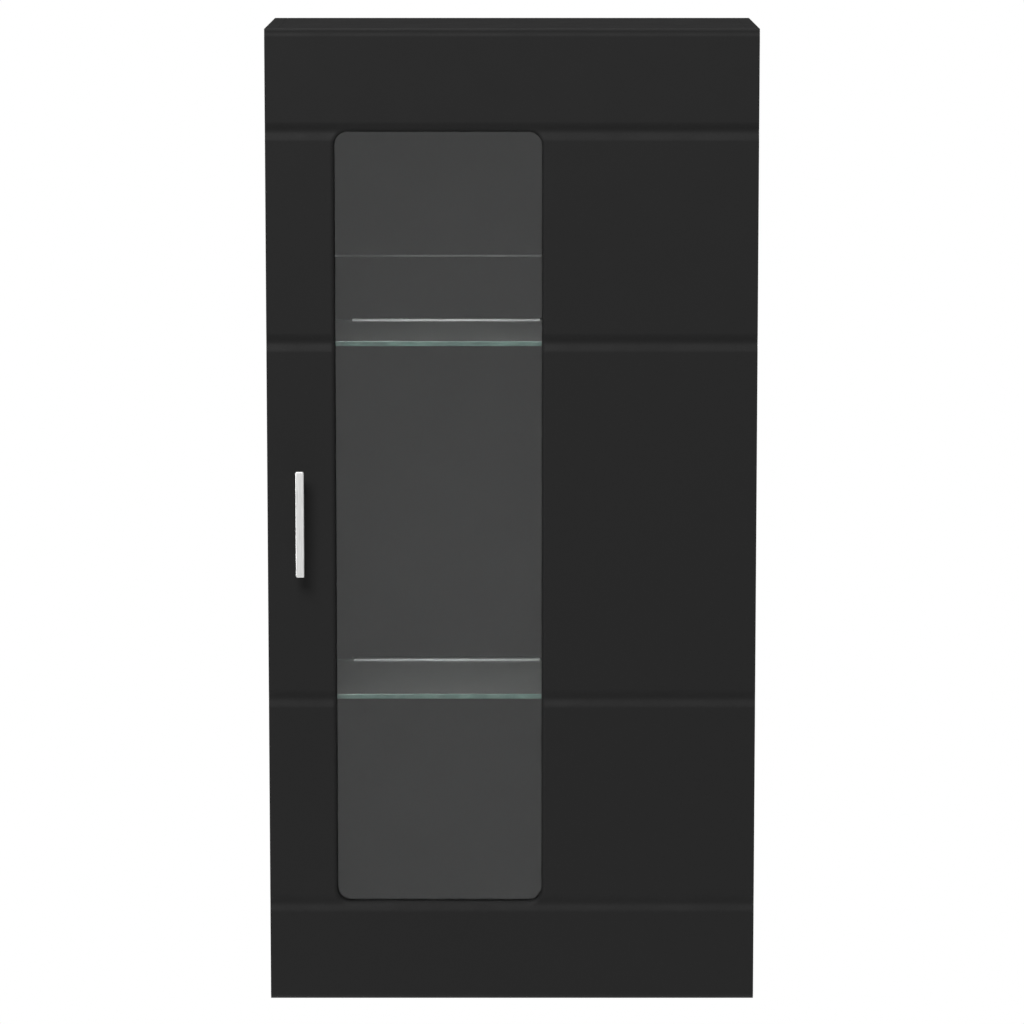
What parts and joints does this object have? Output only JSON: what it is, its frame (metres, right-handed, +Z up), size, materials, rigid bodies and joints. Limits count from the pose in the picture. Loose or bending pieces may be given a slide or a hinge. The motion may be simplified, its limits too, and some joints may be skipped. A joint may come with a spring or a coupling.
{
  "type": "wall cabinet",
  "caption": "Tall black hanging wall cabinet: one grooved door with a narrow glass window and bar handle, glass shelves inside, concealed hinges.",
  "frame": {"origin": "centre of the rectangle of the four wall screw holes, on the wall face", "axes": "+X to the right for someone facing the door, +Y into the wall, +Z up"},
  "size_m": [0.6, 0.327, 1.201],
  "materials": {
    "door_foil": "matt black foil on MDF",
    "carcass_board": "fine-grained black laminate",
    "edging": "satin",
    "back_board": "smooth black lacquer",
    "pale_plastic": "satin",
    "dark_plastic": "matt",
    "grey_plastic": "matt",
    "beech": "raw beech",
    "zinc": "cast zinc",
    "shelf_glass": "clear float glass with polished edges",
    "door_pane": "clear float glass",
    "nickel": "nickel plated",
    "steel": "bright zinc plated",
    "clear_rubber": "soft clear",
    "light_aluminium": "satin anodised",
    "light_lens": "milky",
    "black_rubber": "matt",
    "handle_aluminium": "brushed satin"
  },
  "bodies": {
    "cabinet": {"back_joining_strip": "pale_plastic", "back_panel_lower": "back_board", "back_panel_upper": "back_board", "bottom_panel": "carcass_board", "cable_bush": "dark_plastic", "cam_bolts": "zinc", "cam_caps": "dark_plastic", "cam_locks": "zinc", "door_bumpers": "clear_rubber", "dowels": "beech", "edge_band_bottom": "edging", "edge_band_left": "edging", "edge_band_right": "edging", "edge_band_top": "edging", "glass_shelf_lower": "shelf_glass", "glass_shelf_upper": "shelf_glass", "hanger_adjusting_screws": "steel", "hanger_caps": "dark_plastic", "hanger_hook_left": "steel", "hanger_hook_right": "steel", "hanger_housing_left": "grey_plastic", "hanger_housing_right": "grey_plastic", "hanger_screws": "steel", "hinge_adjusting_screws": "nickel", "hinge_arm_lower": "nickel", "hinge_arm_middle": "nickel", "hinge_arm_upper": "nickel", "hinge_plate_lower": "nickel", "hinge_plate_middle": "nickel", "hinge_plate_screws": "steel", "hinge_plate_upper": "nickel", "light_channel_lower": "light_aluminium", "light_channel_upper": "light_aluminium", "light_lens_lower": "light_lens", "light_lens_upper": "light_lens", "shelf_pads": "clear_rubber", "shelf_pins": "nickel", "side_panel_left": "carcass_board", "side_panel_right": "carcass_board", "top_panel": "carcass_board", "wall_plate_left": "steel", "wall_plate_right": "steel"},
    "door": {"door_front": "door_foil", "door_glass": "door_pane", "glass_clip_screws": "steel", "glass_clips": "dark_plastic", "glass_seal": "black_rubber", "handle_bar": "handle_aluminium", "handle_post_lower": "handle_aluminium", "handle_post_upper": "handle_aluminium", "handle_screws": "steel", "hinge_cup_lower": "nickel", "hinge_cup_middle": "nickel", "hinge_cup_screws": "steel", "hinge_cup_upper": "nickel", "hinge_pins": "steel", "hinge_springs": "steel"}
  },
  "joints": [
    {"name": "door_swing", "type": "hinge", "parent": "cabinet", "child": "door", "pos_m": [0.292, -0.289, -0.54], "axis": [0, 0, 1], "range_deg": [0, 95]}
  ]
}
